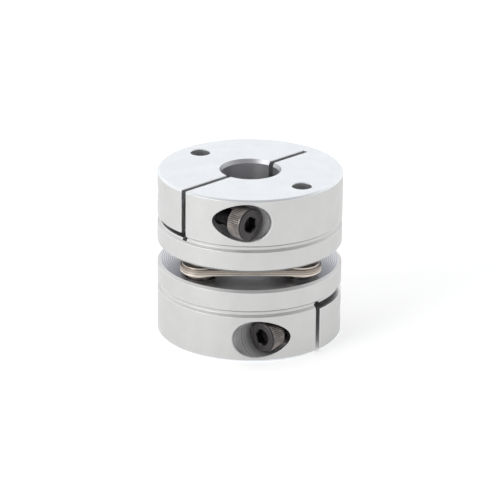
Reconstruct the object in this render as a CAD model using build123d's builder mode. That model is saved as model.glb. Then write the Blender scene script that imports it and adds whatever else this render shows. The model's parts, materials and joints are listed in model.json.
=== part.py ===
"""Flexible shaft coupling: two clamp hubs joined by a laminated disc pack.

Millimetres. Z runs along the shafts and z = 0 is the lower hub's outer end face. Seen from the
front (-Y), X points right. Each hub is one part: the lower one is the upper one turned over about
Y, with a larger bore. Two screws fix the disc pack to each hub, on opposite corners, so the pack
is the cross of a joint that bends both ways, and its thin discs also let the hubs float apart.
"""

import os
from math import atan2, degrees, sqrt

from build123d import *

# Hubs
HUB_DIAMETER = 32.0
HUB_LENGTH = 13.0
HUB_GAP = 3.3  # between the two hubs' inner faces
UPPER_BORE = 10.0
LOWER_BORE = 14.0
END_CHAMFER = 0.3
FLANGE_CHAMFER = 0.45
BORE_CHAMFER = 0.35
UPPER_BORE_MOUTH = 0.7  # depth of the bore's chamfer at the outer end
LOWER_BORE_MOUTH = 0.35
EDGE_BREAK = 0.12  # on sawn and drilled edges

# Clamp: an axial slit, and a radial slit that frees the jaw
AXIAL_SLIT_WIDTH = 1.0
HINGE_WEB = 2.5  # metal left between the axial slit's end and the outside
RADIAL_SLIT_WIDTH = 1.0
RADIAL_SLIT_RISE = 0.4  # above the axial slit's floor
RADIAL_SLIT_OVERCUT = 0.2  # past the axial slit's far wall
GROOVE_RISE = 0.35  # of the groove's centre above the axial slit's floor
GROOVE_WIDTH = 1.3
GROOVE_DEPTH = 0.45

# Clamp screw, M3 socket head cap screw
CLAMP_THREAD = 3.0
CLAMP_LENGTH = 12.0
CLAMP_HEAD_DIAMETER = 5.5
CLAMP_HEAD_HEIGHT = 3.0
CLAMP_SOCKET = 2.5
CLAMP_SCREW_WALL = 4.4  # from the hub's outside to the screw's axis
CLAMP_SCREW_DROP = 0.25  # below the middle of the jaw
CLAMP_SEAT = 5.0  # from the slit's middle plane to the head's seat
COUNTERBORE_CLEARANCE = 0.5
CLEARANCE_HOLE_CLEARANCE = 0.2
THREAD_CLEARANCE = 0.05
UPPER_SCREW_BACKED_OUT = 3.8
LOWER_SCREW_BACKED_OUT = 1.6

# Disc pack
DISC_THICKNESS = 0.1
DISC_COUNT = 10
LOBE_RADIUS = 3.55
WAIST_DEPTH = 0.35  # of the sides below the straight line that touches two lobes
DISC_EYE_WIDTH = 4.3  # from the central hole to the screw circle
SCREW_HOLE_CLEARANCE = 0.05

# Disc pack screws, M2.5 socket head cap screws, each with a washer and a flanged collar
SCREW_CIRCLE_WALL = 3.9  # from the hub's outside to the screws' axes
PATTERN_TURN = 1.5  # degrees, of the screw pattern from the axial slit
PACK_THREAD = 2.5
PACK_SCREW_LENGTH = 6.0
PACK_HEAD_DIAMETER = 4.5
PACK_HEAD_HEIGHT = 2.5
PACK_SOCKET = 2.0
WASHER_DIAMETER = 6.4
WASHER_THICKNESS = 0.4
COLLAR_DIAMETER = 4.2
COLLAR_FLANGE_DIAMETER = 6.4
COLLAR_FLANGE_THICKNESS = 0.3
POCKET_CLEARANCE = 0.45  # round the head
PACK_HEAD_CLEARANCE = 0.85  # under the head
TAPPED_RUNOUT = 0.15  # below the screw's tip
TAPPED_FLOOR = 0.3  # metal left under the axial slit
TOOL_HOLE = 3.4  # for the key that turns the opposite hub's screw

# Shared screw proportions
SOCKET_DEPTH_SHARE = 0.45  # of the head's height
HEAD_EDGE_SHARE = 0.1  # of the head's height
TIP_CHAMFER_SHARE = 0.14  # of the thread's diameter

# Worked out
HUB_RADIUS = HUB_DIAMETER / 2
PITCH_RADIUS = HUB_RADIUS - SCREW_CIRCLE_WALL
PACK_THICKNESS = DISC_COUNT * DISC_THICKNESS
COLLAR_LENGTH = (HUB_GAP - PACK_THICKNESS) / 2
PACK_BOTTOM = HUB_LENGTH + COLLAR_LENGTH
TAPPED_DEPTH = PACK_SCREW_LENGTH - WASHER_THICKNESS - PACK_THICKNESS - COLLAR_LENGTH + TAPPED_RUNOUT
FLANGE_THICKNESS = TAPPED_DEPTH + TAPPED_FLOOR
POCKET_DIAMETER = PACK_HEAD_DIAMETER + 2 * POCKET_CLEARANCE
POCKET_DEPTH = WASHER_THICKNESS + PACK_HEAD_HEIGHT + PACK_HEAD_CLEARANCE - COLLAR_LENGTH
RADIAL_SLIT_BOTTOM = FLANGE_THICKNESS + RADIAL_SLIT_RISE
GROOVE_CENTRE = FLANGE_THICKNESS + GROOVE_RISE
JAW_BOTTOM = RADIAL_SLIT_BOTTOM + RADIAL_SLIT_WIDTH
CLAMP_SCREW_HEIGHT = (JAW_BOTTOM + HUB_LENGTH) / 2 - CLAMP_SCREW_DROP
CLAMP_SCREW_OFFSET = HUB_RADIUS - CLAMP_SCREW_WALL
BEYOND = HUB_DIAMETER  # far enough to cut right through

# A hub's own frame has its inner face at z = 0, its slit's mouth on +X and the screw's head on +Y.
# The screw patterns meet, so the lower hub's slit stands twice the pattern's turn from square.
UPPER_MOUTH = Vector(-1, -1, 0)
LOWER_MOUTH = Vector(1, -1, 0).rotate(Axis.Z, 2 * PATTERN_TURN)
UPPER_HUB_PLANE = Plane(origin=(0, 0, HUB_LENGTH + HUB_GAP), x_dir=UPPER_MOUTH, z_dir=(0, 0, 1))
LOWER_HUB_PLANE = Plane(origin=(0, 0, HUB_LENGTH), x_dir=LOWER_MOUTH, z_dir=(0, 0, -1))
PACK_PLANE = Plane(origin=(0, 0, PACK_BOTTOM), x_dir=Vector(1, 0, 0).rotate(Axis.Z, PATTERN_TURN))


def hub_section(bore_radius, bore_mouth):
    """Return the corners of half a hub's turned section, as (radius, height)."""
    groove_floor = GROOVE_WIDTH - 2 * GROOVE_DEPTH
    return [
        (bore_radius + BORE_CHAMFER, 0),
        (HUB_RADIUS - FLANGE_CHAMFER, 0),
        (HUB_RADIUS, FLANGE_CHAMFER),
        (HUB_RADIUS, GROOVE_CENTRE - GROOVE_WIDTH / 2),
        (HUB_RADIUS - GROOVE_DEPTH, GROOVE_CENTRE - groove_floor / 2),
        (HUB_RADIUS - GROOVE_DEPTH, GROOVE_CENTRE + groove_floor / 2),
        (HUB_RADIUS, GROOVE_CENTRE + GROOVE_WIDTH / 2),
        (HUB_RADIUS, HUB_LENGTH - END_CHAMFER),
        (HUB_RADIUS - END_CHAMFER, HUB_LENGTH),
        (bore_radius + BORE_CHAMFER, HUB_LENGTH),
        (bore_radius, HUB_LENGTH - bore_mouth),
        (bore_radius, BORE_CHAMFER),
    ]


def clamp_hub(bore_diameter, bore_mouth):
    """Return a clamp hub in its own frame."""
    with BuildPart() as hub:
        with BuildSketch(Plane.XZ):
            with BuildLine():
                Polyline(*hub_section(bore_diameter / 2, bore_mouth), close=True)
            make_face()
        revolve(axis=Axis.Z)

        # tool holes with pockets for the other hub's screw heads, and tapped holes for its own
        across = Vector(0, 1, 0).rotate(Axis.Z, PATTERN_TURN)
        with Locations(Plane(origin=(0, 0, 0), x_dir=across, z_dir=(0, 0, -1))):
            with Locations((PITCH_RADIUS, 0), (-PITCH_RADIUS, 0)):
                CounterBoreHole(TOOL_HOLE / 2, POCKET_DIAMETER / 2, POCKET_DEPTH)
            with Locations((0, PITCH_RADIUS), (0, -PITCH_RADIUS)):
                Hole(PACK_THREAD / 2, TAPPED_DEPTH)
        rims = hub.edges().filter_by(GeomType.CIRCLE).group_by(Axis.Z)[-1]
        chamfer(rims.filter_by(lambda rim: rim.radius < TOOL_HOLE), EDGE_BREAK)

        # clamp screw: counterbore and clearance hole on the head's side, thread in the jaw
        screw_point = (CLAMP_SCREW_OFFSET, HUB_RADIUS, CLAMP_SCREW_HEIGHT)
        with Locations(Plane(origin=screw_point, x_dir=(1, 0, 0), z_dir=(0, 1, 0))):
            CounterBoreHole(
                CLAMP_THREAD / 2 + CLEARANCE_HOLE_CLEARANCE,
                CLAMP_HEAD_DIAMETER / 2 + COUNTERBORE_CLEARANCE,
                HUB_RADIUS - CLAMP_SEAT,
                HUB_RADIUS,
            )
            Hole(CLAMP_THREAD / 2 + THREAD_CLEARANCE)

        # axial slit, open at the mouth and closed by the hinge web
        with BuildSketch(Plane.XY.offset(FLANGE_THICKNESS)):
            with Locations((HINGE_WEB - HUB_RADIUS, 0)):
                Rectangle(BEYOND, AXIAL_SLIT_WIDTH, align=(Align.MIN, Align.CENTER))
        extrude(amount=BEYOND, mode=Mode.SUBTRACT)

        # radial slit, from the jaw's side to just past the axial slit
        with BuildSketch(Plane.XY.offset(RADIAL_SLIT_BOTTOM)):
            with Locations((0, AXIAL_SLIT_WIDTH / 2 + RADIAL_SLIT_OVERCUT)):
                Rectangle(2 * BEYOND, BEYOND, align=(Align.CENTER, Align.MAX))
        extrude(amount=RADIAL_SLIT_WIDTH, mode=Mode.SUBTRACT)

        # broken edges: the axial slit's on the end face and at its mouth, and the counterbore's rim
        slit_edges = hub.edges().filter_by(GeomType.LINE)
        chamfer(slit_edges.filter_by(Axis.X).group_by(Axis.Z)[-1], EDGE_BREAK)
        walls = hub.edges().filter_by(Axis.Z).filter_by_position(Axis.Z, JAW_BOTTOM, HUB_LENGTH)
        chamfer(walls.group_by(Axis.X)[-1], EDGE_BREAK)
        chamfer(hub.edges().filter_by(GeomType.BSPLINE).sort_by(Axis.Y)[-1], EDGE_BREAK)
    return hub.part


def cap_screw(thread, length, head_diameter, head_height, socket):
    """Return a socket head cap screw with its head on +Z and its seat at z = 0."""
    with BuildPart() as screw:
        with BuildSketch():
            Circle(head_diameter / 2)
        extrude(amount=head_height)
        chamfer(screw.edges().group_by(Axis.Z)[-1], HEAD_EDGE_SHARE * head_height)
        with BuildSketch():
            Circle(thread / 2)
        extrude(amount=-length)
        chamfer(screw.edges().group_by(Axis.Z)[0], TIP_CHAMFER_SHARE * thread)
        with BuildSketch(Plane.XY.offset(head_height)):
            RegularPolygon(socket / 2, 6, major_radius=False)
        extrude(amount=-SOCKET_DEPTH_SHARE * head_height, mode=Mode.SUBTRACT)
    return screw.part


def ring(thread, *steps):
    """Return a ring that stands on z = 0 and fits a thread, stepped as (diameter, thickness)."""
    with BuildPart() as piece:
        level = 0
        for diameter, thickness in steps:
            with BuildSketch(Plane.XY.offset(level)):
                Circle(diameter / 2)
                Circle(thread / 2, mode=Mode.SUBTRACT)
            extrude(amount=thickness)
            level += thickness
    return piece.part


def disc():
    """Return one disc of the pack, lying on z = 0."""
    corner = PITCH_RADIUS / sqrt(2)
    side = corner + LOBE_RADIUS - WAIST_DEPTH
    # each side is an arc that touches both its lobes and dips to `side`
    reach = side - corner
    waist_radius = (corner**2 + reach**2 - LOBE_RADIUS**2) / (2 * (LOBE_RADIUS - reach))
    lean = degrees(atan2(corner, reach + waist_radius))
    with BuildPart() as piece:
        with BuildSketch():
            with BuildLine():
                for turn in (0, 90, 180, 270):
                    lobe = Vector(PITCH_RADIUS, 0).rotate(Axis.Z, turn + 45)
                    CenterArc(lobe, LOBE_RADIUS, turn - lean, 90 + 2 * lean)
                    waist = Vector(side + waist_radius, 0).rotate(Axis.Z, turn)
                    CenterArc(waist, waist_radius, turn + 180 - lean, 2 * lean)
            make_face()
            Circle(PITCH_RADIUS - DISC_EYE_WIDTH, mode=Mode.SUBTRACT)
            with PolarLocations(PITCH_RADIUS, 4, start_angle=45):
                Circle(PACK_THREAD / 2 + SCREW_HOLE_CLEARANCE, mode=Mode.SUBTRACT)
        extrude(amount=DISC_THICKNESS)
    return piece.part


def place(name, piece, plane):
    """Write a finished piece, standing on the given plane, as its own STEP file."""
    with BuildPart() as node:
        with Locations(plane):
            add(piece)
    node.part.label = name
    export_step(node.part, f"parts/{name}.step")


def place_clamp_screw(name, hub_plane, backed_out):
    """Write a hub's clamp screw, its head backed out of its seat by the given distance."""
    seat = (CLAMP_SCREW_OFFSET, CLAMP_SEAT + backed_out, CLAMP_SCREW_HEIGHT)
    axis = (hub_plane.from_local_coords(Vector(0, 1, 0)) - hub_plane.origin).normalized()
    screw = cap_screw(
        CLAMP_THREAD, CLAMP_LENGTH, CLAMP_HEAD_DIAMETER, CLAMP_HEAD_HEIGHT, CLAMP_SOCKET
    )
    plane = Plane(origin=hub_plane.from_local_coords(Vector(*seat)), x_dir=(0, 0, 1), z_dir=axis)
    place(name, screw, plane)


def place_pack_fixings(side, hub_plane, corners):
    """Write a hub's two pack screws, each with its collar and washer."""
    pack_screw = cap_screw(
        PACK_THREAD, PACK_SCREW_LENGTH, PACK_HEAD_DIAMETER, PACK_HEAD_HEIGHT, PACK_SOCKET
    )
    neck = (COLLAR_DIAMETER, COLLAR_LENGTH - COLLAR_FLANGE_THICKNESS)
    collar = ring(PACK_THREAD, neck, (COLLAR_FLANGE_DIAMETER, COLLAR_FLANGE_THICKNESS))
    washer = ring(PACK_THREAD, (WASHER_DIAMETER, WASHER_THICKNESS))
    outward = -hub_plane.z_dir
    for corner, reach in corners:
        across = Vector(reach, 0, 0).rotate(Axis.Z, PATTERN_TURN)
        washer_rise = -COLLAR_LENGTH - PACK_THICKNESS
        for kind, piece, rise in (
            ("collar", collar, 0),
            ("washer", washer, washer_rise),
            ("pack_screw", pack_screw, washer_rise - WASHER_THICKNESS),
        ):
            foot = hub_plane.from_local_coords(across + Vector(0, 0, rise))
            place(f"{side}_{kind}_{corner}", piece, Plane(origin=foot, z_dir=outward))


os.makedirs("parts", exist_ok=True)

place("upper_hub", clamp_hub(UPPER_BORE, UPPER_BORE_MOUTH), UPPER_HUB_PLANE)
place("lower_hub", clamp_hub(LOWER_BORE, LOWER_BORE_MOUTH), LOWER_HUB_PLANE)
place_clamp_screw("upper_clamp_screw", UPPER_HUB_PLANE, UPPER_SCREW_BACKED_OUT)
place_clamp_screw("lower_clamp_screw", LOWER_HUB_PLANE, LOWER_SCREW_BACKED_OUT)
place_pack_fixings(
    "upper", UPPER_HUB_PLANE, (("front", PITCH_RADIUS), ("back", -PITCH_RADIUS))
)
place_pack_fixings(
    "lower", LOWER_HUB_PLANE, (("front", PITCH_RADIUS), ("back", -PITCH_RADIUS))
)
pack_disc = disc()
for number in range(DISC_COUNT):
    place(f"disc_{number + 1:02d}", pack_disc, PACK_PLANE.offset(number * DISC_THICKNESS))
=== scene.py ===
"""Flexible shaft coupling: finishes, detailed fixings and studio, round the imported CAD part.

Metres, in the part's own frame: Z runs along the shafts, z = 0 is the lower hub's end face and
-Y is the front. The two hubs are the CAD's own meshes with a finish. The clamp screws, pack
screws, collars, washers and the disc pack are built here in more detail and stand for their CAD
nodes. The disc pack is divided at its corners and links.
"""

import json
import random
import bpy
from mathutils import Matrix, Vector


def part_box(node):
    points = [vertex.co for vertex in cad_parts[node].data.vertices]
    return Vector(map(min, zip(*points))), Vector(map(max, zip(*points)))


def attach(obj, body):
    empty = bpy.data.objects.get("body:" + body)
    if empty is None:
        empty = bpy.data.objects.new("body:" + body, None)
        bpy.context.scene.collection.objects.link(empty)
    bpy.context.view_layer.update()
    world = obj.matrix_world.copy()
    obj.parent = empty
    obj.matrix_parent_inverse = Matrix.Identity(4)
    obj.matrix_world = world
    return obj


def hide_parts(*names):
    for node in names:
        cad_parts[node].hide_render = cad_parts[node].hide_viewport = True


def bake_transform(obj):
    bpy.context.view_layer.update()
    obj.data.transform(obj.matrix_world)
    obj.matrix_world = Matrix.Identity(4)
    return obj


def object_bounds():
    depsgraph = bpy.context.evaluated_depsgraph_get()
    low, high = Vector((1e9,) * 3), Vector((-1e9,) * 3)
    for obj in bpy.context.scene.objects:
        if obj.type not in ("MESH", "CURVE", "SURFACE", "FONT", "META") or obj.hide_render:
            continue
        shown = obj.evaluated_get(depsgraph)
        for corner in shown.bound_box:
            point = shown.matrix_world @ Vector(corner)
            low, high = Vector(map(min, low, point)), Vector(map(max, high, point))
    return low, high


bl_info = {
    "name": "Flexible Shaft Coupling",
    "version": (1, 0, 0),
    "blender": (4, 5, 0),
    "location": "View3D > Sidebar > Coupling",
    "description": "Finishes, fixings, disc pack and studio for a clamp-hub disc coupling",
    "category": "Object",
}

from math import atan2, ceil, cos, pi, radians, sin, sqrt, tau

import bpy
from bpy.props import FloatProperty, FloatVectorProperty, IntProperty, PointerProperty
from mathutils import Matrix, Vector
from mathutils.geometry import tessellate_polygon

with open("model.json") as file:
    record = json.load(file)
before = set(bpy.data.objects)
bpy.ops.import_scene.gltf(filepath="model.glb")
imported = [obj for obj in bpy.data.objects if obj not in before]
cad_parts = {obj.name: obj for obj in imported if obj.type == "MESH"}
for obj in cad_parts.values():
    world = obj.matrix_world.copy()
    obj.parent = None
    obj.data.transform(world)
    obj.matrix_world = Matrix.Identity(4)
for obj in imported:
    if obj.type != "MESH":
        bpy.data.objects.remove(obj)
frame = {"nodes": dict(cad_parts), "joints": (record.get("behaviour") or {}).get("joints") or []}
CAD_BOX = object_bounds()
MM = 0.001
CENTRE = (CAD_BOX[0] + CAD_BOX[1]) / 2
CENTRE.x = CENTRE.y = 0.0


# Sizes read from the CAD


def joint_axis(name):
    """Return the direction of a joint's axis."""
    joint = next(j for j in frame["joints"] if j["name"] == name)
    return Vector(joint["axis"]).normalized()


def node_points(name):
    """Return a CAD node's points."""
    return [vertex.co for vertex in frame["nodes"][name].data.vertices]


def span_along(points, axis):
    """Return the lowest and highest place of some points along an axis."""
    places = [point.dot(axis) for point in points]
    return min(places), max(places)


def middle_line(points, axis):
    """Return the point on a round piece's own axis that lies nearest to the origin."""
    side = axis.orthogonal().normalized()
    other = axis.cross(side)
    return sum(
        (direction * sum(span_along(points, direction)) / 2 for direction in (side, other)),
        Vector(),
    )


def standing(foot, axis, turn=0.0):
    """Return the matrix that stands a piece on a point, with its own Z along an axis."""
    return (
        Matrix.Translation(foot)
        @ axis.to_track_quat("Z", "Y").to_matrix().to_4x4()
        @ Matrix.Rotation(turn, 4, "Z")
    )


# Settings


def number(name, description, default, **limits):
    """Return a number property."""
    return FloatProperty(name=name, description=description, default=default, **limits)


def length(name, description, default):
    """Return a length property, in metres."""
    return number(name, description, default, min=0, max=1, unit="LENGTH")


def share(name, description, default):
    """Return a property from 0 to 1."""
    return number(name, description, default, min=0, max=1, subtype="FACTOR")


def colour(name, description, default):
    """Return a colour property."""
    return FloatVectorProperty(
        name=name, description=description, default=default, min=0, max=1, subtype="COLOR"
    )


class HubSettings(bpy.types.PropertyGroup):
    """Finish of the two clamp hubs."""

    # painted shade and light: the outside gets a darker colour, and the end faces with their
    # chamfers a lighter and bluer one, than the one aluminium has, so the side reads darker and the
    # top lighter
    outside: colour("Outside", "Satin aluminium of the turned outside, darkened as painted shade", (0.60, 0.60, 0.59))
    end_face: colour("End Face", "Aluminium of the outer end faces and chamfers, lightened as painted light", (0.82, 0.84, 0.865))
    inner_face: colour("Inner Face", "Aluminium of the faces next to the pack", (0.66, 0.67, 0.70))
    bore: colour("Bore", "Aluminium of the shaft bore", (0.80, 0.80, 0.82))
    # painted shade: the bore's chamfer is given a darker colour than the bore's own aluminium
    mouth_shade: colour("Bore Mouth Shade", "Painted shade on the bore's chamfer", (0.46, 0.46, 0.48))
    sawn: colour("Sawn", "Aluminium in the slits, holes and pockets", (0.82, 0.82, 0.825))
    satin: share("Satin Roughness", "Roughness of the blasted outside", 0.46)
    machined: share("Machined Roughness", "Roughness of the turned and drilled surfaces", 0.34)
    grain: length("Grain", "Size of the blasting's grain", 0.12 * MM)
    feed: length("Feed", "Distance between turning marks", 0.36 * MM)
    drilled: colour("Drilled", "Aluminium of the clamp screws' counterbores", (0.84, 0.84, 0.85))
    # painted shade: a darker colour for the level faces inside the slits and pockets, away from the
    # rim
    slit_floor_shade: colour("Slit Floor Shade", "Painted shade on the level faces deep in the slits and pockets", (0.50, 0.50, 0.51))
    # painted highlight: a near-white colour laid along every broken edge of the hubs
    painted_edge_highlight: colour("Edges", "Painted highlight along the broken edges", (0.98, 0.98, 0.98))
    drill_feed: length("Drill Feed", "Distance between the marks in the counterbores", 0.26 * MM)
    edge: length("Edge Radius", "Softness of the broken edges", 0.05 * MM)


class ScrewSettings(bpy.types.PropertyGroup):
    """Socket head cap screws."""

    steel: colour("Steel", "Blackened steel", (0.046, 0.043, 0.046))
    worn: colour("Worn Steel", "Steel where handling has thinned the black", (0.30, 0.27, 0.25))
    roughness: share("Roughness", "Roughness of the blackened steel", 0.36)
    knurls: IntProperty(
        name="Knurls", description="Grooves round the head", default=48, min=12, max=96
    )
    knurl_depth: length("Knurl Depth", "Depth of the grooves", 0.11 * MM)
    clamp_head: length("Clamp Head", "Height of a clamp screw's head", 3.0 * MM)
    clamp_thread: length("Clamp Thread", "Diameter of a clamp screw's thread", 3.0 * MM)
    clamp_pitch: length("Clamp Pitch", "Pitch of a clamp screw's thread", 0.5 * MM)
    clamp_socket: length("Clamp Socket", "Key size of a clamp screw", 2.5 * MM)
    pack_head: length("Pack Head", "Height of a pack screw's head", 2.5 * MM)
    pack_thread: length("Pack Thread", "Diameter of a pack screw's thread", 2.5 * MM)
    pack_pitch: length("Pack Pitch", "Pitch of a pack screw's thread", 0.45 * MM)
    pack_socket: length("Pack Socket", "Key size of a pack screw", 2.0 * MM)


class RingSettings(bpy.types.PropertyGroup):
    """Collars and washers between the pack, the hubs and the screws' heads."""

    steel: colour("Steel", "Ground steel", (0.62, 0.57, 0.51))
    # painted shade: the collar's neck, recessed between its hub and its flange, is coloured near
    # black
    shade: colour("Neck Shade", "Painted shade on the collars' necks", (0.10, 0.095, 0.09))
    roughness: share("Roughness", "Roughness of the ground steel", 0.34)
    edge: length("Edge Radius", "Roundness of the rings' edges", 0.06 * MM)
    neck: length("Collar Neck", "Diameter of a collar's neck, against its hub", 4.2 * MM)
    flange: length("Collar Flange", "Thickness of a collar's flange, against the pack", 0.3 * MM)


class PackSettings(bpy.types.PropertyGroup):
    """Laminated disc pack."""

    steel: colour("Steel", "Rolled spring steel", (0.92, 0.86, 0.78))
    # partly painted shade: the darkening of the discs above the two lowest stands partly for their
    # own rolling skin and partly for shade under the hubs' rims
    dull: colour("Dull Steel And Shade", "Discs darkened by their dull rolling skin and by painted shade", (0.30, 0.255, 0.225))
    roughness: share("Roughness", "Roughness of the rolled steel", 0.30)
    lobe: length("Lobe Radius", "Radius of a corner round its screw", 3.55 * MM)
    waist: length("Waist", "Dip of a side below the line that touches two corners", 0.35 * MM)
    eye: length("Eye Radius", "Radius of the central hole", 7.8 * MM)
    hole: length("Screw Hole Radius", "Radius of a screw hole", 1.3 * MM)
    edge: length("Edge Bevel", "Bevel of each disc's blanked edge", 0.03 * MM)
    link_half: length("Half Link", "Half the length that flexes between two corners", 2.5 * MM)


class StageSettings(bpy.types.PropertyGroup):
    """Floor, light and camera."""

    floor: colour("Floor", "Colour of the floor", (0.92, 0.92, 0.92))
    horizon: number("Horizon", "Brightness round the horizon", 1.20, min=0)
    overhead: number("Overhead", "Brightness overhead", 0.55, min=0)
    glow: number("Floor Glow", "Light that the floor gives out", 0.32, min=0)
    key: number("Key", "Power of the left softbox", 4.0, min=0)
    distance: length("Camera Distance", "Camera to the coupling's centre", 550.647 * MM)
    elevation: number("Elevation", "Camera's height", radians(21.062), subtype="ANGLE")
    roll: number("Roll", "Camera's roll", radians(0.555), subtype="ANGLE")
    lens: number("Lens", "Focal length in millimetres", 228.2, min=1)
    shift_x: number("Shift X", "Sideways shift of the frame", 0.0008)
    shift_y: number("Shift Y", "Upward shift of the frame", -0.0034)


# Shader nodes


class Graph:
    """Adds shader nodes to a tree and joins them."""

    def __init__(self, tree):
        self.tree = tree

    def feed(self, socket, value):
        """Link a socket to another, or set its value."""
        if isinstance(value, bpy.types.NodeSocket):
            self.tree.links.new(value, socket)
        else:
            socket.default_value = value

    def feed_all(self, sockets, values):
        """Feed sockets by name, or in their order."""
        for key, value in values.items() if isinstance(values, dict) else enumerate(values):
            self.feed(sockets[key], value)

    def node(self, kind, inputs=(), **settings):
        """Add a node with its settings, and feed its inputs by name or in their order."""
        made = self.tree.nodes.new(kind)
        for name, value in settings.items():
            setattr(made, name, value)
        self.feed_all(made.inputs, inputs)
        return made

    def math(self, operation, *values, clamp=False):
        """Add a Math node and return its value."""
        return self.node("ShaderNodeMath", values, operation=operation, use_clamp=clamp).outputs[0]

    def times(self, product, *values):
        """Return values multiplied."""
        for value in values:
            product = self.math("MULTIPLY", product, value)
        return product

    def vector(self, operation, *values):
        """Add a Vector Math node and return its vector, or its value where it gives one."""
        made = self.node("ShaderNodeVectorMath", values, operation=operation)
        gives_value = operation in ("DOT_PRODUCT", "LENGTH")
        return made.outputs["Value" if gives_value else "Vector"]

    def scaled(self, vector, value):
        """Return a vector times a value."""
        made = self.node("ShaderNodeVectorMath", {0: vector, "Scale": value}, operation="SCALE")
        return made.outputs["Vector"]

    def ramp(self, value, low, high, start=0.0, end=1.0, kind="SMOOTHSTEP"):
        """Return a value carried smoothly from one range to another."""
        inputs = (value, low, high, start, end)
        return self.node("ShaderNodeMapRange", inputs, interpolation_type=kind).outputs["Result"]

    def mix(self, factor, a, b, blend_type="MIX"):
        """Return two colours mixed."""
        made = self.node("ShaderNodeMix", {0: factor}, data_type="RGBA", blend_type=blend_type)
        for socket, value in ((made.inputs[6], a), (made.inputs[7], b)):
            self.feed(socket, (*value, 1.0) if isinstance(value, (tuple, list)) else value)
        return made.outputs[2]

    def mix_value(self, factor, a, b):
        """Return two values mixed."""
        return self.node("ShaderNodeMix", {0: factor, 2: a, 3: b}, data_type="FLOAT").outputs[0]

    def grey(self, value):
        """Return a value as a grey colour."""
        return self.node("ShaderNodeCombineColor", (value,) * 3).outputs["Color"]

    def noise(self, scale, detail=2.0, vector=None, roughness=0.5):
        """Return a noise value that is even in all directions."""
        inputs = {
            "Scale": scale,
            "Detail": detail,
            "Roughness": roughness,
            "Vector": vector or self.place(),
        }
        return self.node("ShaderNodeTexNoise", inputs).outputs["Fac"]

    def place(self):
        """Return the shaded point in the piece's own frame."""
        return self.node("ShaderNodeTexCoord").outputs["Object"]

    def group(self, name, inputs=()):
        """Add a node group and return its outputs."""
        return self.node("ShaderNodeGroup", inputs, node_tree=group_tree(name)).outputs


def open_group(name, inputs):
    """Start a node group, and return its graph and its inputs."""
    tree = bpy.data.node_groups.new(name, "ShaderNodeTree")
    for socket, default in inputs.items():
        kind = "NodeSocketVector" if isinstance(default, tuple) else "NodeSocketFloat"
        made = tree.interface.new_socket(socket, in_out="INPUT", socket_type=kind)
        made.default_value = default
    graph = Graph(tree)
    return graph, graph.node("NodeGroupInput").outputs


def close_group(graph, values):
    """Put values out of a node group by name, and return its tree."""
    for name in values:
        graph.tree.interface.new_socket(name, in_out="OUTPUT", socket_type="NodeSocketFloat")
    graph.feed_all(graph.node("NodeGroupOutput").inputs, values)
    return graph.tree


def axis_group():
    """Group: distance from an axis, and place along it."""
    graph, given = open_group("Round An Axis", {"Point": (0, 0, 0), "Direction": (0, 0, 1)})
    reach = graph.vector("SUBTRACT", graph.place(), given["Point"])
    along = graph.vector("DOT_PRODUCT", reach, given["Direction"])
    across = graph.vector("SUBTRACT", reach, graph.scaled(given["Direction"], along))
    return close_group(graph, {"Radius": graph.vector("LENGTH", across), "Along": along})


def marks_group():
    """Group: the fine marks that a cutting tool leaves, repeated along a distance."""
    graph, given = open_group("Tool Marks", {"Distance": 0, "Feed": 0.3 * MM, "Waver": 0.25})
    passes = graph.math("DIVIDE", given["Distance"], given["Feed"])
    drift = graph.math("SUBTRACT", graph.noise(260.0), 0.5)
    wavering = graph.math("MULTIPLY_ADD", drift, given["Waver"], passes)
    wave = graph.math("SINE", graph.times(wavering, tau))
    strips = graph.node(
        "ShaderNodeTexNoise",
        {"W": wavering, "Scale": 0.8, "Detail": 3.0},
        noise_dimensions="1D",
    )
    return close_group(
        graph,
        {"Height": graph.math("MULTIPLY_ADD", wave, 0.5, 0.5), "Tone": strips.outputs["Fac"]},
    )


def blasted_group():
    """Group: the grain, soft mottle and stray specks of a blasted and anodised surface."""
    graph, given = open_group("Blasted Grain", {"Grain": 0.1 * MM})
    fineness = graph.math("DIVIDE", 1.0, given["Grain"])
    fine_share = 0.8
    fine = graph.noise(graph.times(fineness, 0.35), 2.0)
    mottle = graph.math("MULTIPLY_ADD", fine, fine_share, graph.noise(330.0, 3.0))
    cells = graph.node(
        "ShaderNodeTexVoronoi", {"Vector": graph.place(), "Scale": 420.0, "Randomness": 1.0}
    )
    near = graph.ramp(cells.outputs["Distance"], 0.035, 0.075, 1.0, 0.0)
    chosen = graph.math("GREATER_THAN", graph.noise(90.0, 0.0), 0.62)
    return close_group(
        graph,
        {
            "Height": graph.noise(fineness, 3.0, roughness=0.6),
            "Mottle": graph.math("DIVIDE", mottle, 1.0 + fine_share),
            "Speck": graph.times(near, chosen),
        },
    )


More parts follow.
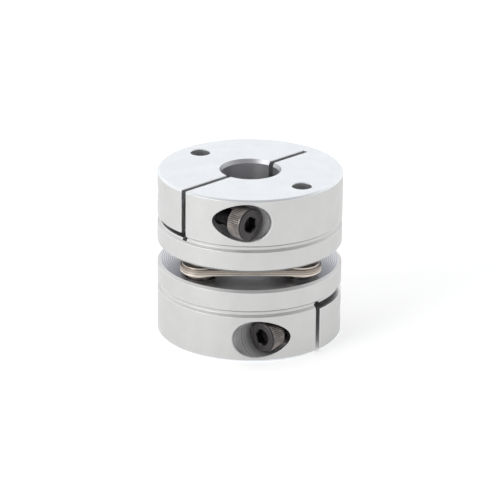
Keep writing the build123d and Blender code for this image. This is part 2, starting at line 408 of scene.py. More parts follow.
def zones_group():
    """Group: masks for the surfaces of a clamp hub, from place and facing."""
    # how far the masks reach from their surfaces, to take in the broken edges
    end_reach, inner_reach, rim_reach = 0.35 * MM, 0.2 * MM, 0.56 * MM
    bore_reach, drill_reach = 0.4 * MM, 0.15 * MM
    # how far in from the rim the painted shade on the level faces starts, and where it is full
    slit_start, slit_full = 0.35 * MM, 0.75 * MM
    # how squarely a surface faces along or away from the axis, where its mask starts and is full
    chamfer, level, side, flare = (0.48, 0.60), (0.80, 0.95), (0.25, 0.45), (0.20, 0.35)

    graph, given = open_group(
        "Hub Zones",
        {
            "Inner Height": 0,
            "Facing": 1,
            "Length": 13 * MM,
            "Hub Radius": 16 * MM,
            "Bore Radius": 5 * MM,
            "Screw Point": (0, 0, 0),
            "Screw Direction": (0, 1, 0),
            "Counterbore Radius": 3.25 * MM,
        },
    )
    normal = graph.node("ShaderNodeTexCoord").outputs["Normal"]
    upward = graph.node("ShaderNodeSeparateXYZ", (normal,)).outputs["Z"]
    facing = graph.times(upward, given["Facing"])
    centre_line = graph.group("Round An Axis")
    radius = centre_line["Radius"]
    raised = graph.math("SUBTRACT", centre_line["Along"], given["Inner Height"])
    height = graph.times(raised, given["Facing"])
    end_limit = graph.math("SUBTRACT", given["Length"], end_reach)
    end_face = graph.times(
        graph.ramp(facing, *chamfer), graph.math("GREATER_THAN", height, end_limit)
    )
    inner_face = graph.times(
        graph.ramp(facing, *(-share for share in level)),
        graph.math("LESS_THAN", height, inner_reach),
    )
    either_face = graph.math("ADD", end_face, inner_face)
    not_face = graph.math("SUBTRACT", 1.0, either_face, clamp=True)
    inside_rim = graph.math("SUBTRACT", given["Hub Radius"], radius)
    # painted shade: level faces more than slit_start in from the rim darken towards the slit-floor
    # colour, fully at slit_full
    level_face = graph.times(
        graph.ramp(graph.math("ABSOLUTE", facing), *level),
        not_face,
        graph.ramp(inside_rim, slit_start, slit_full),
    )
    outward = graph.vector("NORMALIZE", graph.vector("MULTIPLY", graph.place(), (1, 1, 0)))
    outward_facing = graph.vector("DOT_PRODUCT", outward, normal)
    rim_limit = graph.math("SUBTRACT", given["Hub Radius"], rim_reach)
    outside = graph.times(
        graph.math("GREATER_THAN", radius, rim_limit),
        graph.ramp(outward_facing, *side),
        not_face,
    )
    bore_limit = graph.math("ADD", given["Bore Radius"], bore_reach)
    bore = graph.times(
        graph.math("LESS_THAN", radius, bore_limit),
        graph.ramp(outward_facing, *(-share for share in side)),
        not_face,
    )
    screw_line = graph.group(
        "Round An Axis", {"Point": given["Screw Point"], "Direction": given["Screw Direction"]}
    )
    off_wall = graph.math("SUBTRACT", screw_line["Radius"], given["Counterbore Radius"])
    counterbore = graph.times(
        graph.math("LESS_THAN", graph.math("ABSOLUTE", off_wall), drill_reach),
        graph.math("SUBTRACT", 1.0, outside, clamp=True),
    )
    return close_group(
        graph,
        {
            "End Face": end_face,
            "Inner Face": inner_face,
            "Outside": outside,
            "Bore": bore,
            "Mouth": graph.times(bore, graph.ramp(facing, *flare)),
            "Counterbore": counterbore,
            "Level Face": level_face,
            "Radius": radius,
            "Height": height,
            "Along Screw": screw_line["Along"],
        },
    )


GROUP_MAKERS = {
    "Round An Axis": axis_group,
    "Tool Marks": marks_group,
    "Blasted Grain": blasted_group,
    "Hub Zones": zones_group,
}


def group_tree(name):
    """Return a node group, made the first time it is asked for."""
    return bpy.data.node_groups.get(name) or GROUP_MAKERS[name]()


def new_material(name):
    """Start a material, and return it with its graph and its Principled BSDF."""
    material = bpy.data.materials.new(name)
    material.use_nodes = True
    material.node_tree.nodes.clear()
    graph = Graph(material.node_tree)
    shader = graph.node("ShaderNodeBsdfPrincipled")
    output = graph.node("ShaderNodeOutputMaterial")
    graph.feed(output.inputs["Surface"], shader.outputs["BSDF"])
    return material, graph, shader


def soft_edges(graph, radius):
    """Return a normal that is rounded at edges."""
    return graph.node("ShaderNodeBevel", {"Radius": radius}, samples=4).outputs["Normal"]


def relief(graph, height, depth, normal, strength=1.0):
    """Return a normal with a relief of the given depth."""
    made = graph.node("ShaderNodeBump", {"Strength": strength, "Distance": depth})
    graph.feed(made.inputs["Height"], height)
    graph.feed(made.inputs["Normal"], normal)
    return made.outputs["Normal"]


def hub_material(name, settings, inner_height, facing, bore_radius, screw_point, screw_axis):
    """Return the aluminium of one hub: satin outside, turned faces and bore, sawn slits, with
    painted highlights on its edges and painted light and shade on some faces.
    """
    speck, turned_mark, drilled_mark = (0.16, 0.15, 0.14), (0.20, 0.21, 0.24), (0.26, 0.26, 0.265)
    material, graph, shader = new_material(name)
    zone = graph.group(
        "Hub Zones",
        {
            "Inner Height": inner_height,
            "Facing": facing,
            "Hub Radius": CAD_BOX[1].y,
            "Bore Radius": bore_radius,
            "Screw Point": screw_point,
            "Screw Direction": screw_axis,
        },
    )
    grain = graph.group("Blasted Grain", {"Grain": settings.grain})
    turned, bored, drilled = (
        graph.group("Tool Marks", {"Distance": zone[way], "Feed": feed, "Waver": waver})
        for way, feed, waver in (
            ("Radius", settings.feed, 0.25),
            ("Height", settings.feed / 2, 0.25),
            ("Along Screw", settings.drill_feed, 0.9),
        )
    )

    tone = settings.sawn[:]
    for surface, finish in (
        # painted shade on the outside
        ("Outside", settings.outside),
        # painted shade on the level faces deep in the slits and pockets
        ("Level Face", settings.slit_floor_shade),
        ("Counterbore", settings.drilled),
        # painted light on the end faces and their chamfers
        ("End Face", settings.end_face),
        ("Inner Face", settings.inner_face),
        ("Bore", settings.bore),
        # painted shade on the bore's chamfer
        ("Mouth", settings.mouth_shade),
    ):
        tone = graph.mix(zone[surface], tone, finish[:])
    mottle = graph.ramp(grain["Mottle"], 0.30, 0.70, 0.955, 1.03, "LINEAR")
    tone = graph.mix(1.0, tone, graph.grey(mottle), "MULTIPLY")
    true_normal = graph.node("ShaderNodeNewGeometry").outputs["Normal"]
    bend = graph.vector("DOT_PRODUCT", soft_edges(graph, settings.edge * 2), true_normal)
    grooves = graph.ramp(turned["Height"], 0.55, 0.85)
    ridges = graph.ramp(drilled["Tone"], 0.40, 0.66)
    for mark, strength, mask in (
        (speck, 0.45, graph.times(grain["Speck"], zone["Outside"])),
        (turned_mark, 0.55, graph.times(grooves, zone["Inner Face"])),
        (drilled_mark, 0.45, graph.times(ridges, zone["Counterbore"])),
        # painted highlight: where the rounded normal turns from the true one, along the broken
        # edges, the colour goes towards near white
        (settings.painted_edge_highlight[:], 0.85, graph.ramp(bend, 0.995, 0.92)),
    ):
        tone = graph.mix(graph.times(mask, strength), tone, mark)

    roughness = graph.mix_value(zone["Outside"], settings.machined, settings.satin)
    roughness = graph.mix_value(zone["End Face"], roughness, settings.satin * 0.9)
    roughness = graph.mix_value(zone["Mouth"], roughness, settings.satin)
    uneven = graph.times(graph.math("SUBTRACT", grain["Height"], 0.5), 0.10)

    outside_strength = graph.ramp(zone["Outside"], 0.0, 1.0, 0.35, 1.0)
    blast = graph.times(grain["Height"], outside_strength)
    normal = relief(graph, blast, 0.004 * MM, soft_edges(graph, settings.edge), 0.5)
    rings = 0.0
    for marks, surface, strength in (
        (turned, "Inner Face", 1.0),
        (turned, "End Face", 0.10),
        (bored, "Bore", 0.3),
        (drilled, "Counterbore", 1.0),
    ):
        shown = graph.times(zone[surface], strength)
        rings = graph.math("MULTIPLY_ADD", marks["Height"], shown, rings)
    values = {
        "Base Color": tone,
        "Roughness": graph.math("ADD", roughness, uneven),
        # the cutter leaves the counterbores dull, so that they also scatter light
        "Metallic": graph.math("MULTIPLY_ADD", zone["Counterbore"], -0.35, 1.0),
        "Normal": relief(graph, rings, 0.006 * MM, normal, 0.6),
    }
    graph.feed_all(shader.inputs, values)
    return material


def screw_material(name, settings, head_radius, head_height):
    """Return blackened steel, worn on the knurl's crests and the face's rim."""
    material, graph, shader = new_material(name)
    line = graph.group("Round An Axis")
    marks = graph.group(
        "Tool Marks", {"Distance": line["Radius"], "Feed": 0.14 * MM, "Waver": 0.1}
    )
    crest = graph.ramp(line["Radius"], head_radius - 0.10 * MM, head_radius - 0.02 * MM)
    on_face = graph.ramp(line["Along"], head_height - 0.06 * MM, head_height - 0.01 * MM)
    patches = graph.ramp(graph.noise(900.0, 4.0, roughness=0.65), 0.35, 0.70)
    wear = graph.times(crest, graph.ramp(patches, 0.0, 1.0, 0.45, 1.0))
    ring = graph.times(on_face, graph.ramp(marks["Tone"], 0.3, 0.7, 0.0, 0.18))
    wear = graph.math("MAXIMUM", wear, ring)
    normal = soft_edges(graph, 0.03 * MM)
    normal = relief(graph, graph.noise(9000.0, 3.0), 0.004 * MM, normal, 0.5)
    turned = graph.times(marks["Height"], on_face)
    values = {
        "Base Color": graph.mix(wear, settings.steel[:], settings.worn[:]),
        "Roughness": graph.math("MULTIPLY_ADD", patches, 0.16, settings.roughness - 0.06),
        "Metallic": 0.9,
        "Normal": relief(graph, turned, 0.003 * MM, normal, 0.6),
    }
    graph.feed_all(shader.inputs, values)
    return material


def ring_material(name, settings, neck_height):
    """Return ground steel with fine marks round the ring, and painted shade on a collar's neck."""
    material, graph, shader = new_material(name)
    line = graph.group("Round An Axis")
    round_marks, face_marks = (
        graph.group("Tool Marks", {"Distance": line[way], "Feed": feed * MM, "Waver": waver})
        for way, feed, waver in (("Along", 0.07, 0.4), ("Radius", 0.11, 0.3))
    )
    stain = graph.times(graph.ramp(graph.noise(700.0, 3.0), 0.35, 0.70), 0.35)
    tone = graph.mix(stain, settings.steel[:], (0.20, 0.18, 0.17))
    on_flange = graph.ramp(line["Along"], neck_height - 0.02 * MM, neck_height + 0.01 * MM)
    height = graph.math("ADD", round_marks["Height"], face_marks["Height"])
    normal = soft_edges(graph, 0.03 * MM)
    values = {
        # painted shade: below neck_height the ring takes the near-black neck colour
        "Base Color": graph.mix(on_flange, settings.shade[:], tone),
        "Roughness": graph.math(
            "MULTIPLY_ADD", round_marks["Tone"], 0.18, settings.roughness - 0.08
        ),
        "Metallic": 1.0,
        "Normal": relief(graph, height, 0.002 * MM, normal, 0.5),
    }
    graph.feed_all(shader.inputs, values)
    return material


def pack_material(settings, bottom, thickness):
    """Return rolled spring steel with faint rolling lines and a little staining.

    The two lowest discs are left bright, as a painted highlight along the pack's bottom edge. Each
    of the others is darkened in its own degree, partly as its own rolling skin and partly as
    painted shade.
    """
    material, graph, shader = new_material("disc_spring_steel")
    stretched = graph.vector("MULTIPLY", graph.place(), (1.0, 0.06, 1.0))
    lines = graph.noise(5200.0, 3.0, stretched, 0.6)
    stain = graph.times(graph.ramp(graph.noise(420.0, 4.0), 0.40, 0.72), 0.30)
    tone = graph.mix(stain, settings.steel[:], (0.48, 0.40, 0.34))
    tone = graph.mix(graph.ramp(lines, 0.35, 0.75, 0.0, 0.18), tone, (0.40, 0.36, 0.33))
    height = graph.node("ShaderNodeSeparateXYZ", (graph.place(),)).outputs["Z"]
    number = graph.math("DIVIDE", graph.math("SUBTRACT", height, bottom), thickness)
    disc = {"W": graph.math("FLOOR", number)}
    own = graph.node("ShaderNodeTexWhiteNoise", disc, noise_dimensions="1D").outputs["Value"]
    # partly painted light: discs above the two lowest darken by their own random amount, partly
    # their own skin and partly painted shade; the two lowest stay bright as a painted highlight
    dull = graph.times(graph.ramp(own, 0.2, 0.6, 0.15, 0.80), graph.ramp(number, 1.9, 2.1))
    values = {
        "Base Color": graph.mix(dull, tone, settings.dull[:]),
        "Roughness": graph.math("MULTIPLY_ADD", lines, 0.16, settings.roughness - 0.08),
        "Metallic": 1.0,
        "Normal": relief(graph, lines, 0.002 * MM, soft_edges(graph, 0.015 * MM), 0.5),
    }
    graph.feed_all(shader.inputs, values)
    return material


def floor_material(settings):
    """Return a matt white studio floor."""
    material, graph, shader = new_material("studio_floor")
    shade = graph.grey(graph.ramp(graph.noise(14.0, 3.0), 0.3, 0.7, 0.985, 1.0))
    values = {
        "Base Color": graph.mix(1.0, settings.floor[:], shade, "MULTIPLY"),
        "Roughness": 0.9,
        "Specular IOR Level": 0.1,
        "Emission Color": (1.0, 1.0, 1.0, 1.0),
        "Emission Strength": settings.glow,
    }
    graph.feed_all(shader.inputs, values)
    return material


# Meshes


def new_object(name, points, faces, material, smooth=30.0):
    """Return an object with a mesh of the given points and faces."""
    mesh = bpy.data.meshes.new(name)
    mesh.from_pydata([tuple(point) for point in points], [], faces)
    mesh.validate()
    mesh.shade_smooth()
    mesh.set_sharp_from_angle(angle=radians(smooth))
    mesh.materials.append(material)
    made = bpy.data.objects.new(name, mesh)
    bpy.context.scene.collection.objects.link(made)
    return made


def another(name, piece):
    """Return a second object that shares a piece's mesh."""
    made = bpy.data.objects.new(name, piece.data)
    bpy.context.scene.collection.objects.link(made)
    return made


def circle(count, radius, height):
    """Return a ring of points. The radius may be a function of the angle."""
    ring = []
    for step in range(count):
        angle = tau * step / count
        reach = radius(angle) if callable(radius) else radius
        ring.append((reach * cos(angle), reach * sin(angle), height))
    return ring


def loft(rings):
    """Return the points and faces of a closed shell through rings, from the bottom up.

    Two rings may have different counts if one is a multiple of the other.
    """
    points, starts = [], []
    for ring in rings:
        starts.append(len(points))
        points += ring
    faces = []
    for low, high in zip(range(len(rings) - 1), range(1, len(rings))):
        few, many = len(rings[low]), len(rings[high])
        base, top = starts[low], starts[high]
        count, below, above = min(few, many), max(1, few // many), max(1, many // few)
        for step in range(count):
            lower = [base + (step * below + k) % few for k in range(below + 1)]
            upper = [top + (step * above + k) % many for k in range(above, -1, -1)]
            faces.append(lower + upper)
    for ring, start, outward in ((rings[0], starts[0], False), (rings[-1], starts[-1], True)):
        points.append((0.0, 0.0, ring[0][2]))
        middle = len(points) - 1
        for step in range(len(ring)):
            edge = [start + step, start + (step + 1) % len(ring)]
            faces.append((edge if outward else edge[::-1]) + [middle])
    return points, faces


def hexagon(across_flats):
    """Return the radius of a hexagon as a function of the angle."""
    return lambda angle: across_flats / 2 / cos((angle + pi / 6) % (pi / 3) - pi / 6)


def cap_screw(name, settings, kind, head_radius, whole_length):
    """Return a socket head cap screw: head on +Z, seat at 0, thread rolled down its shank."""
    head_height, thread, pitch, socket = (
        getattr(settings, f"{kind}_{part}") for part in ("head", "thread", "pitch", "socket")
    )
    material = screw_material(f"{kind}_screw_black", settings, head_radius, head_height)
    reach = whole_length - head_height

    # depths across one tooth of the knurl, as shares of the full depth
    groove = (0.0, 0.0, 0.35, 1.0, 0.35, 0.0)
    coarse = settings.knurls
    fine = coarse * len(groove)

    def knurled(angle):
        step = round(angle / tau * fine) % len(groove)
        return head_radius - settings.knurl_depth * groove[step]

    rows_a_pitch = 10
    thread_depth = 0.61 * pitch
    root, flank = 0.18, 0.62
    runout, fillet, fillet_height = 0.25 * MM, 0.10 * MM, 0.12 * MM
    rows = ceil(reach / pitch * rows_a_pitch)

    def threaded(height):
        def radius(angle):
            turn = (height / pitch - angle / tau) % 1.0
            crest = min(1.0, max(0.0, (1.0 - abs(2.0 * turn - 1.0) - root) / flank))
            full = thread / 2 - thread_depth * (1.0 - crest)
            return min(full, thread / 2 - thread_depth + reach + height)

        return radius

    rings = []
    for row in range(rows + 1):
        height = -reach + row * (reach - runout) / rows
        rings.append(circle(coarse, threaded(height), height))
    rings.append(circle(coarse, thread / 2, -fillet_height))
    rings.append(circle(coarse, thread / 2 + fillet, 0.0))
    for radius, height in (
        (head_radius - 0.24 * MM, 0.0),
        (head_radius - 0.10 * MM, 0.06 * MM),
        (head_radius - 0.03 * MM, 0.16 * MM),
        (knurled, 0.28 * MM),
        (knurled, head_height - 0.50 * MM),
        (head_radius - 0.02 * MM, head_height - 0.40 * MM),
        (head_radius - 0.04 * MM, head_height - 0.28 * MM),
        (head_radius - 0.12 * MM, head_height - 0.12 * MM),
        (head_radius - 0.24 * MM, head_height - 0.03 * MM),
        (head_radius - 0.38 * MM, head_height),
        (socket / 2 * 1.20, head_height),
        (socket / 2 * 1.155, head_height - 0.05 * MM),
        (hexagon(socket), head_height - 0.18 * MM),
        (hexagon(socket), head_height * 0.45),
        (socket * 0.36, head_height * 0.42),
    ):
        rings.append(circle(fine, radius, height))
    points, faces = loft(rings)
    return new_object(name, points, faces, material, 32.0)


def turned_ring(name, material, inner, height, edge, outer, neck=None):
    """Return a ring that stands on 0, with rounded edges.

    A neck, given as (radius, height), narrows the ring's foot.
    """
    corner_steps, ring_steps = 3, 96

    def rounded(radius, level, start, size):
        angles = [start + step * pi / 2 / corner_steps for step in range(corner_steps + 1)]
        return [(radius + size * cos(angle), level + size * sin(angle)) for angle in angles]

    section = [
        *rounded(outer - edge, height - edge, 0.0, edge),
        *rounded(inner + edge / 2, height - edge / 2, pi / 2, edge / 2),
        *rounded(inner + edge / 2, edge / 2, pi, edge / 2),
    ]
    foot = 0.0
    if neck:
        section += [*rounded(neck[0] - edge, edge, -pi / 2, edge), neck]
        foot = neck[1]
    section += rounded(outer - edge, foot + edge, -pi / 2, edge)
    points, faces = [], []
    across = len(section)
    for step in range(ring_steps):
        angle = tau * step / ring_steps
        points += [(r * cos(angle), r * sin(angle), z) for r, z in section]
        here, there = step * across, (step + 1) % ring_steps * across
        for k in range(across):
            follow = (k + 1) % across
            faces.append((here + k, there + k, there + follow, here + follow))
    return new_object(name, points, faces, material, 40.0)


# Disc pack


def arc(centre, radius, start, end, steps):
    """Return points along an arc, each with the direction that points out from its centre."""
    made = []
    for step in range(steps + 1):
        angle = start + (end - start) * step / steps
        outward = Vector((cos(angle), sin(angle)))
        made.append((centre + radius * outward, outward))
    return made


def disc_shape(settings, pitch_radius):
    """Return the waist's centre distance and radius, and the lean of a corner's arc."""
    corner = pitch_radius / sqrt(2)
    reach = settings.lobe - settings.waist
    waist_radius = (corner**2 + reach**2 - settings.lobe**2) / (2 * (settings.lobe - reach))
    lean = atan2(corner, reach + waist_radius)
    return corner + reach + waist_radius, waist_radius, lean


def link_outline(settings, pitch_radius):
    """Return a link's outline in a frame whose X points out through the middle of the link.

    Each point comes with the way that its edge is bevelled, which is along the cut at the ends.
    """
    distance, radius, _ = disc_shape(settings, pitch_radius)
    half = settings.link_half
    steps = 12
    outline = []
    for step in range(steps + 1):
        y = -half + 2 * half * step / steps
        slope = y / radius
        inward = Vector((-1.0, 0.0)) if step in (0, steps) else Vector((-1.0, -slope)).normalized()
        outline.append((Vector((distance - sqrt(radius**2 - y**2), y)), inward))
    for step in range(steps + 1):
        y = half - 2 * half * step / steps
        point = Vector((sqrt(settings.eye**2 - y**2), y))
        inward = Vector((1.0, 0.0)) if step in (0, steps) else point.normalized()
        outline.append((point, inward))
    return outline


def corner_outline(settings, pitch_radius):
    """Return a corner's outline, in a frame whose X points out through its screw hole."""
    distance, radius, lean = disc_shape(settings, pitch_radius)
    half = settings.link_half
    eighth = pi / 4
    def turned(point, turn):
        return Matrix.Rotation(turn, 2) @ point

    # down the side before the corner, round the corner, and along the side after it
    steps = 10
    start_slope = atan2(half, sqrt(radius**2 - half**2))
    before, after = [], []
    for step in range(steps + 1):
        slope = start_slope + (lean - start_slope) * step / steps
        point = Vector((distance - radius * cos(slope), radius * sin(slope)))
        inward = Vector((-cos(slope), sin(slope)) if step else (-1.0, 0.0))
        before.append((turned(point, -eighth), turned(inward, -eighth)))
        mirrored = Vector((point.x, -point.y))
        after.append((turned(mirrored, eighth), turned(Vector((inward.x, -inward.y)), eighth)))
    outline = before
    lobe_centre = Vector((pitch_radius, 0.0))
    lobe = arc(lobe_centre, settings.lobe, -eighth - lean, eighth + lean, 40)
    outline += [(point, -outward) for point, outward in lobe[1:-1]]
    outline += after[::-1]
    eye_end = eighth - atan2(half, sqrt(settings.eye**2 - half**2))
    eye = arc(Vector((0.0, 0.0)), settings.eye, eye_end, -eye_end, 16)
    cut = turned(Vector((1.0, 0.0)), eighth)
    other_cut = turned(Vector((1.0, 0.0)), -eighth)
    for step, (point, outward) in enumerate(eye):
        along = cut if step == 0 else other_cut if step == len(eye) - 1 else outward
        outline.append((point, along))
    return outline


def laminations(outlines, bottom, thickness, count, bevel, looseness):
    """Return the points and faces of a stack of discs, each cut to the same outlines.

    The first outline is the outside and the others are holes. Every disc's edge is bevelled, and
    stands a little in or out from its neighbours.
    """
    points, faces = [], []
    for number in range(count):
        low = bottom + number * thickness
        loose = looseness[number]
        gap = 0.02 * thickness
        levels = (
            (low + gap, bevel),
            (low + bevel * 0.8, 0.0),
            (low + thickness - bevel * 0.8, 0.0),
            (low + thickness - gap, bevel),
        )
        flat = [[], []]
        for outline in outlines:
            start, size = len(points), len(outline)
            for level, inset in levels:
                for point, inward in outline:
                    place = point + inward * (inset + loose)
                    points.append((place.x, place.y, level))
            for row in range(len(levels) - 1):
                here, above = start + row * size, start + (row + 1) * size
                for k in range(size):
                    follow = (k + 1) % size
                    faces.append((here + k, here + follow, above + follow, above + k))
            flat[0].append(range(start, start + size))
            flat[1].append(range(start + 3 * size, start + 4 * size))
        for loops, upward in ((flat[0], False), (flat[1], True)):
            order = [index for loop in loops for index in loop]
            filled = tessellate_polygon([[Vector(points[k]) for k in loop] for loop in loops])
            for triangle in filled:
                corners = [Vector(points[order[k]]) for k in triangle]
                up = (corners[1] - corners[0]).cross(corners[2] - corners[0]).z > 0
                face = [order[k] for k in triangle]
                faces.append(face if up == upward else face[::-1])
    return points, faces


# Operators


class COUPLING_OT_finish_hubs(bpy.types.Operator):
    """Give both clamp hubs their satin aluminium, with turned, bored and sawn surfaces"""

    bl_idname = "coupling.finish_hubs"
    bl_label = "Finish Hubs"

    def execute(self, context):
        settings = context.scene.coupling_hubs
        for side, facing in (("upper", 1.0), ("lower", -1.0)):
            hub = f"{side}_hub"
            points = node_points(hub)
            low, high = span_along(points, Vector((0, 0, 1)))
            bore_radius = min(Vector((p.x, p.y)).length for p in points)
            axis = joint_axis(f"{side}_clamp_screw_travel")
            screw_point = middle_line(node_points(f"{side}_clamp_screw"), axis)
            material = hub_material(
                f"{side}_hub_aluminium",
                settings,
                low if facing > 0 else high,
                facing,
                bore_radius,
                screw_point,
                axis,
            )
            frame["nodes"][hub].material_slots[0].material = material
        return {"FINISHED"}


class COUPLING_OT_build_clamp_screws(bpy.types.Operator):
    """Build the two knurled clamp screws on their CAD places"""

    bl_idname = "coupling.build_clamp_screws"
    bl_label = "Build Clamp Screws"

    def execute(self, context):
        settings = context.scene.coupling_screws
        first = None
        for side, turn in (("upper", 0.0), ("lower", radians(22.0))):
            node = f"{side}_clamp_screw"
            name = f"{node}_knurled"
            points = node_points(node)
            axis = joint_axis(f"{node}_travel")
            low, high = span_along(points, axis)
            line = middle_line(points, axis)
            if first:
                screw = another(name, first)
            else:
                radius = max((p - line - axis * (p.dot(axis))).length for p in points)
                screw = first = cap_screw(name, settings, "clamp", radius, high - low)
            screw.matrix_world = standing(line + axis * (high - settings.clamp_head), axis, turn)
            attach(screw, node)
            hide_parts(node)
        return {"FINISHED"}


class COUPLING_OT_build_pack_fixings(bpy.types.Operator):
    """Build the collars, washers and screws that hold the disc pack to the hubs"""

    bl_idname = "coupling.build_pack_fixings"
    bl_label = "Build Pack Fixings"

    def execute(self, context):
        screws = context.scene.coupling_screws
        rings = context.scene.coupling_rings
        made = {}
        for side, axis in (("upper", Vector((0, 0, -1))), ("lower", Vector((0, 0, 1)))):
            for corner, turn in (("front", radians(17.0)), ("back", radians(41.0))):
                for kind in ("collar", "washer", "pack_screw"):
                    node = f"{side}_{kind}_{corner}"
                    low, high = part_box(node)
                    size = high - low
                    foot = (low + high) / 2
                    foot.z = high.z if axis.z < 0 else low.z
                    name = f"{node}_detailed"
                    if kind in made:
                        piece = another(name, made[kind])
                    elif kind == "pack_screw":
                        piece = cap_screw(name, screws, "pack", size.x / 2, size.z)
                    else:
                        neck_height = size.z - rings.flange if kind == "collar" else 0.0
                        piece = turned_ring(
                            name,
                            ring_material(f"{kind}_ground_steel", rings, neck_height),
                            screws.pack_thread / 2 + 0.02 * MM,
                            size.z,
                            rings.edge,
                            size.x / 2,
                            (rings.neck / 2, neck_height) if neck_height else None,
                        )
                    made.setdefault(kind, piece)
                    if kind == "pack_screw":
                        # the screw's head is on the far side of the pack from its hub
                        seat = screws.pack_head
                        foot.z = low.z + seat if side == "upper" else high.z - seat
                    piece.matrix_world = standing(foot, axis, turn)
                    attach(piece, f"{side}_side")
                    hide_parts(node)
        return {"FINISHED"}


class COUPLING_OT_build_disc_pack(bpy.types.Operator):
    """Build the laminated disc pack: four clamped corners and the four links between them"""

    bl_idname = "coupling.build_disc_pack"
    bl_label = "Build Disc Pack"

    def execute(self, context):
        settings = context.scene.coupling_pack
        discs = sorted(name for name in frame["nodes"] if name.startswith("disc_"))
        bottom = min(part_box(name)[0].z for name in discs)
        top = max(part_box(name)[1].z for name in discs)
        thickness = (top - bottom) / len(discs)
        material = pack_material(settings, bottom, thickness)
        places = {}
        for side in ("upper", "lower"):
            for corner in ("front", "back"):
                low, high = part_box(f"{side}_collar_{corner}")
                places[side, corner] = ((low + high) / 2).to_2d()
        pitch_radius = sum(place.length for place in places.values()) / len(places)

        chance = random.Random(7)
        looseness = [chance.uniform(0.0, 0.03) * MM for _ in discs]
        hole = arc(Vector((pitch_radius, 0.0)), settings.hole, tau, 0.0, 32)[:-1]
        shapes = {
            "corner": [corner_outline(settings, pitch_radius), hole],
            "link": [link_outline(settings, pitch_radius)],
        }
        stacks = {
            kind: laminations(outlines, bottom, thickness, len(discs), settings.edge, looseness)
            for kind, outlines in shapes.items()
        }

        def add(name, kind, angle):
            points, faces = stacks[kind]
            turn = Matrix.Rotation(angle, 3, "Z")
            piece = new_object(name, [turn @ Vector(p) for p in points], faces, material, 30.0)
            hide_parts(*discs)
            return piece

        for (side, corner), place in places.items():
            angle = atan2(place.y, place.x)
            piece = add(f"pack_corner_{side}_{corner}", "corner", angle)
            if side == "lower":
                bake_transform(piece)
            else:
                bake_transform(piece)
        for name, lower_corner, upper_corner in (
            ("front", "front", "front"),
            ("right", "front", "back"),
            ("back", "back", "back"),
            ("left", "back", "front"),
        ):
            start, end = places["lower", lower_corner], places["upper", upper_corner]
            between = (start + end) / 2
            piece = add(f"pack_link_{name}", "link", atan2(between.y, between.x))
            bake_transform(piece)
        return {"FINISHED"}


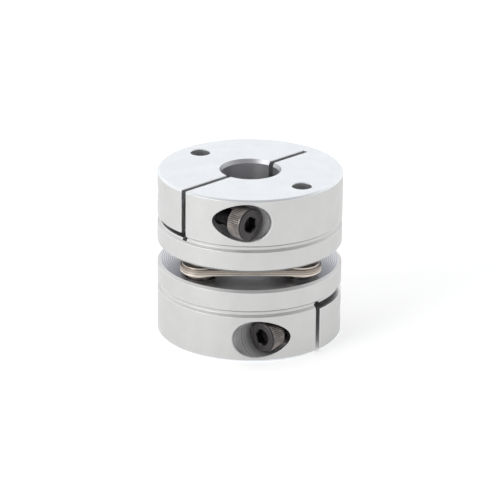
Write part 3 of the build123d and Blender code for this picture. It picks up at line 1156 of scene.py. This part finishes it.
class COUPLING_OT_build_stage(bpy.types.Operator):
    """Build the floor, the soft light and the camera"""

    bl_idname = "coupling.build_stage"
    bl_label = "Build Stage"

    def execute(self, context):
        settings = context.scene.coupling_stage
        self.build_floor(settings)
        self.build_light(context, settings)
        self.build_camera(context, settings)
        return {"FINISHED"}

    def build_floor(self, settings):
        """A floor that curves up into a backdrop behind the coupling."""
        half, depth, bend, rise, bend_steps = 2.0, 1.6, 0.6, 1.6, 12
        below_coupling = 0.01 * MM
        section = [(-half, 0.0), (0.0, 0.0), (depth - bend, 0.0)]
        for step in range(1, bend_steps + 1):
            angle = pi / 2 * step / bend_steps
            section.append((depth - bend + bend * sin(angle), bend - bend * cos(angle)))
        section.append((depth, rise))
        columns = (-half, -half / 3, half / 3, half)
        points = [(x, y, z) for y, z in section for x in columns]
        faces = []
        for row in range(len(section) - 1):
            for k in range(len(columns) - 1):
                here = row * len(columns) + k
                above = here + len(columns)
                faces.append((here, here + 1, above + 1, above))
        floor = new_object("studio_sweep", points, faces, floor_material(settings), 60.0)
        floor.location.z = CAD_BOX[0].z - below_coupling

    def build_light(self, context, settings):
        """A pale surround that is darker overhead, and one softbox at the left."""
        scene = context.scene
        world = bpy.data.worlds.new("studio_surround")
        scene.world = world
        world.use_nodes = True
        world.node_tree.nodes.clear()
        graph = Graph(world.node_tree)
        towards = graph.node("ShaderNodeTexCoord").outputs["Generated"]
        part = graph.node("ShaderNodeSeparateXYZ", (towards,)).outputs
        level = graph.ramp(part["Z"], 0.15, 0.85, settings.horizon, settings.overhead)
        # brightness to the left and right, then in front and behind
        for way, start, end in (("X", 1.22, 1.06), ("Y", 0.48, 1.46)):
            level = graph.times(level, graph.ramp(part[way], -1.0, 1.0, start, end, "LINEAR"))
        background = graph.node(
            "ShaderNodeBackground", {"Color": (0.985, 0.99, 1.0, 1.0), "Strength": level}
        )
        graph.node("ShaderNodeOutputWorld", {"Surface": background.outputs["Background"]})

        lamp = bpy.data.lights.new("left_softbox", "AREA")
        lamp.shape = "RECTANGLE"
        lamp.size, lamp.size_y = 0.55, 0.45
        lamp.energy = settings.key
        softbox = bpy.data.objects.new("left_softbox", lamp)
        scene.collection.objects.link(softbox)
        place = Vector((-0.75, -0.55, 0.42))
        softbox.matrix_world = standing(place, place - CENTRE)
        scene.view_settings.view_transform = "Standard"
        scene.view_settings.look = "None"

    def build_camera(self, context, settings):
        """A long lens from the front and above."""
        data = bpy.data.cameras.new("product_camera")
        camera = bpy.data.objects.new("product_camera", data)
        context.scene.collection.objects.link(camera)
        away = Vector((0.0, -cos(settings.elevation), sin(settings.elevation)))
        place = CENTRE + away * settings.distance
        look = Matrix.Rotation(settings.roll, 4, "Z")
        look = away.to_track_quat("Z", "Y").to_matrix().to_4x4() @ look
        camera.matrix_world = Matrix.Translation(place) @ look
        data.sensor_width = 36.0
        data.lens = settings.lens
        data.shift_x = settings.shift_x
        data.shift_y = settings.shift_y
        data.clip_start = 0.01
        data.clip_end = 20.0
        context.scene.camera = camera


class COUPLING_PT_panel(bpy.types.Panel):
    """Lists the coupling's pieces and their settings"""

    bl_idname = "COUPLING_PT_panel"
    bl_label = "Flexible Shaft Coupling"
    bl_space_type = "VIEW_3D"
    bl_region_type = "UI"
    bl_category = "Coupling"

    def draw(self, context):
        for settings_name, operator in STEPS:
            settings = getattr(context.scene, settings_name)
            box = self.layout.box()
            box.operator(operator.bl_idname)
            for name in settings.__annotations__:
                box.prop(settings, name)


STEPS = (
    ("coupling_hubs", COUPLING_OT_finish_hubs),
    ("coupling_screws", COUPLING_OT_build_clamp_screws),
    ("coupling_rings", COUPLING_OT_build_pack_fixings),
    ("coupling_pack", COUPLING_OT_build_disc_pack),
    ("coupling_stage", COUPLING_OT_build_stage),
)
SETTINGS = {
    "coupling_hubs": HubSettings,
    "coupling_screws": ScrewSettings,
    "coupling_rings": RingSettings,
    "coupling_pack": PackSettings,
    "coupling_stage": StageSettings,
}
CLASSES = (*SETTINGS.values(), *(operator for _, operator in STEPS), COUPLING_PT_panel)


def register():
    """Register the classes and put the settings on the scene."""
    for cls in CLASSES:
        bpy.utils.register_class(cls)
    for name, cls in SETTINGS.items():
        setattr(bpy.types.Scene, name, PointerProperty(type=cls))


def unregister():
    """Take the settings and classes away again."""
    for name in SETTINGS:
        delattr(bpy.types.Scene, name)
    for cls in reversed(CLASSES):
        bpy.utils.unregister_class(cls)


def main():
    """Build the coupling and its stage."""
    register()
    for _, operator in STEPS:
        group, name = operator.bl_idname.split(".")
        getattr(getattr(bpy.ops, group), name)()


if __name__ == "__main__":
    main()
